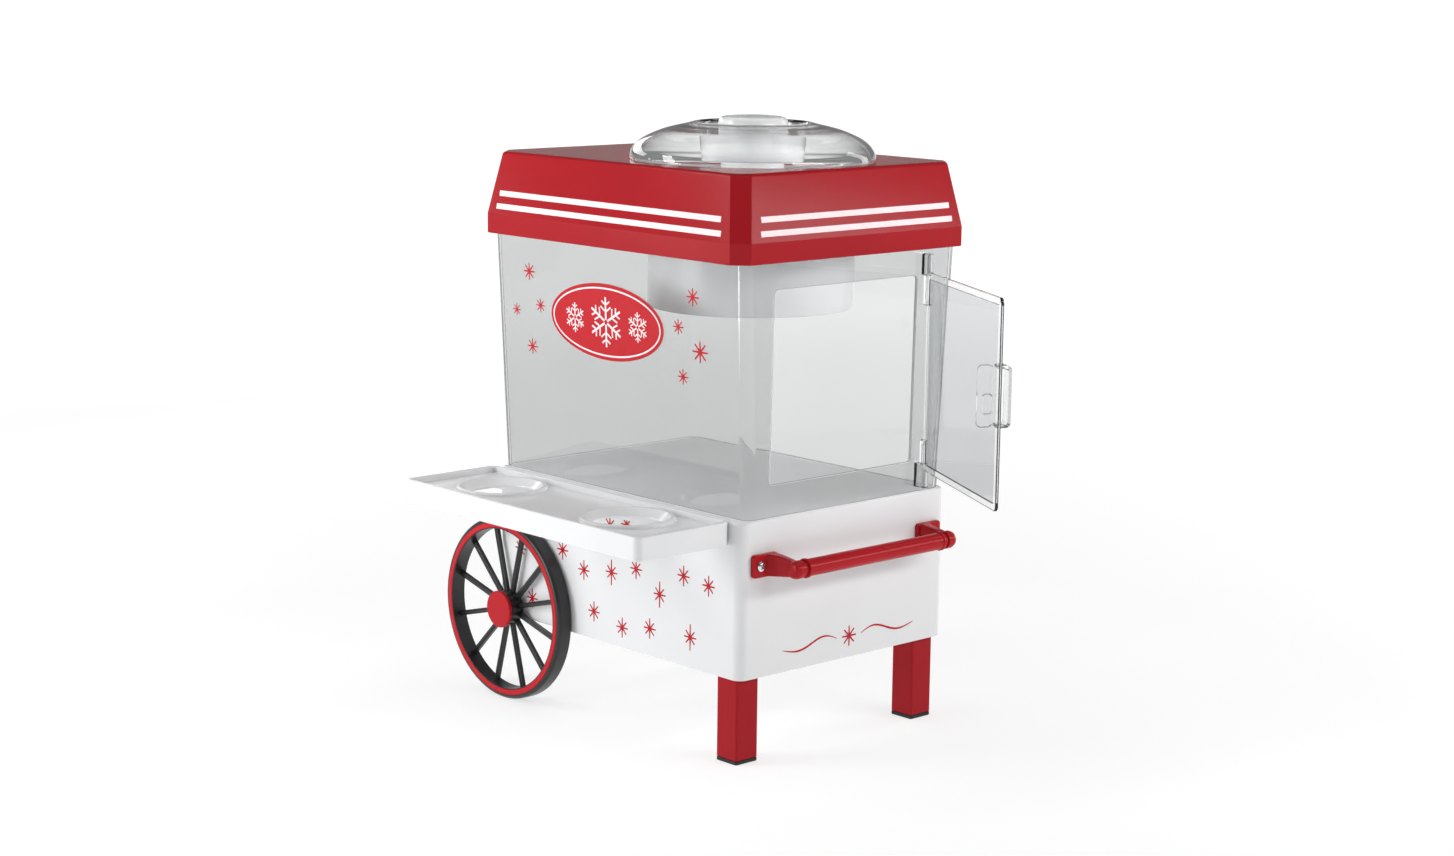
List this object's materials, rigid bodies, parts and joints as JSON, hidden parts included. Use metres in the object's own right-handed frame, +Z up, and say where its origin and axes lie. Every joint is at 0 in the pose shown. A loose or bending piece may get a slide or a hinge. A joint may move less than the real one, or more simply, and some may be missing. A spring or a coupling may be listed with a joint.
{
  "type": "shaved ice machine",
  "caption": "Cart-style countertop shaved ice machine: red hood with clear lift-off lid, clear cabinet with hinged door, white base, cup shelf, push bar, legs and spoked wheels.",
  "frame": {"origin": "on the floor, under the middle of the white base", "axes": "+Z up, +X towards the door, push bar and legs, -Y towards the cup shelf"},
  "size_m": [0.4485, 0.298, 0.4303],
  "materials": {
    "white_plastic": "glossy moulded",
    "clear_plastic": "clear moulded",
    "red_plastic": "satin gloss",
    "black_plastic": "satin",
    "rubber_black": "matte",
    "grey_plastic": "satin",
    "steel": "brushed",
    "bright_steel": "polished"
  },
  "bodies": {
    "cart": {"base_bottom_cover": "white_plastic", "base_housing": "white_plastic", "cabinet_window": "clear_plastic", "cord_bushing": "black_plastic", "cup_shelf": "white_plastic", "foot_left": "rubber_black", "foot_right": "rubber_black", "handle_bar": "red_plastic", "handle_bracket_left": "red_plastic", "handle_bracket_right": "red_plastic", "handle_screw_left": "bright_steel", "handle_screw_right": "bright_steel", "hinge_pin_lower": "steel", "hinge_pin_upper": "steel", "hood_screw_1": "bright_steel", "hood_screw_2": "bright_steel", "hood_screw_3": "bright_steel", "hood_screw_4": "bright_steel", "hood_shell": "red_plastic", "hood_underpan": "white_plastic", "ice_hopper": "grey_plastic", "interlock_switch": "black_plastic", "leg_left": "red_plastic", "leg_right": "red_plastic", "leg_screw_left": "bright_steel", "leg_screw_right": "bright_steel", "motor_bracket": "white_plastic", "motor_can": "steel", "motor_end_cap": "steel", "motor_housing": "white_plastic", "shelf_screw_1": "bright_steel", "shelf_screw_2": "bright_steel", "switch_frame": "black_plastic", "wheel_axle": "steel"},
    "door": {"door_panel": "clear_plastic", "door_handle": "clear_plastic", "door_latch": "clear_plastic"},
    "left_wheel": {"wheel_left": "black_plastic", "wheel_stripe_left": "red_plastic", "hub_cap_left": "red_plastic", "axle_nut_left": "steel"},
    "right_wheel": {"wheel_right": "black_plastic", "wheel_stripe_right": "red_plastic", "hub_cap_right": "red_plastic", "axle_nut_right": "steel"},
    "lid": {"lid_dome": "clear_plastic", "lid_grip": "clear_plastic", "ice_pusher": "clear_plastic", "lid_screw": "bright_steel"},
    "blade": {"blade_disc": "steel", "ice_blade_1": "bright_steel", "ice_blade_2": "bright_steel", "drive_shaft": "steel", "blade_nut": "bright_steel"},
    "rocker": {"power_rocker": "red_plastic"},
    "interlock_button": {"interlock_plunger": "red_plastic"}
  },
  "joints": [
    {"name": "door_hinge", "type": "hinge", "parent": "cart", "child": "door", "pos_m": [0.138, 0.0685, 0.2565], "axis": [0, 0, 1], "range_deg": [-62, 45]},
    {"name": "left_wheel_spin", "type": "hinge", "parent": "cart", "child": "left_wheel", "pos_m": [-0.111, -0.1068, 0.067], "axis": [0, 1, 0], "continuous": true},
    {"name": "right_wheel_spin", "type": "hinge", "parent": "cart", "child": "right_wheel", "pos_m": [-0.111, 0.1068, 0.067], "axis": [0, 1, 0], "continuous": true},
    {"name": "lid_lift", "type": "slide", "parent": "cart", "child": "lid", "axis": [0, 0, 1], "range_m": [0, 0.06]},
    {"name": "blade_spin", "type": "hinge", "parent": "cart", "child": "blade", "pos_m": [0.031, 0, 0.352], "axis": [0, 0, 1], "continuous": true},
    {"name": "power_switch", "type": "hinge", "parent": "cart", "child": "rocker", "pos_m": [-0.13016, 0.04, 0.37525], "axis": [0, 1, 0], "range_deg": [-20, 0]},
    {"name": "interlock_press", "type": "slide", "parent": "cart", "child": "interlock_button", "axis": [0, 0, -1], "range_m": [0, 0.002], "stiffness_N_per_m": 200, "springref_m": -0.002}
  ]
}
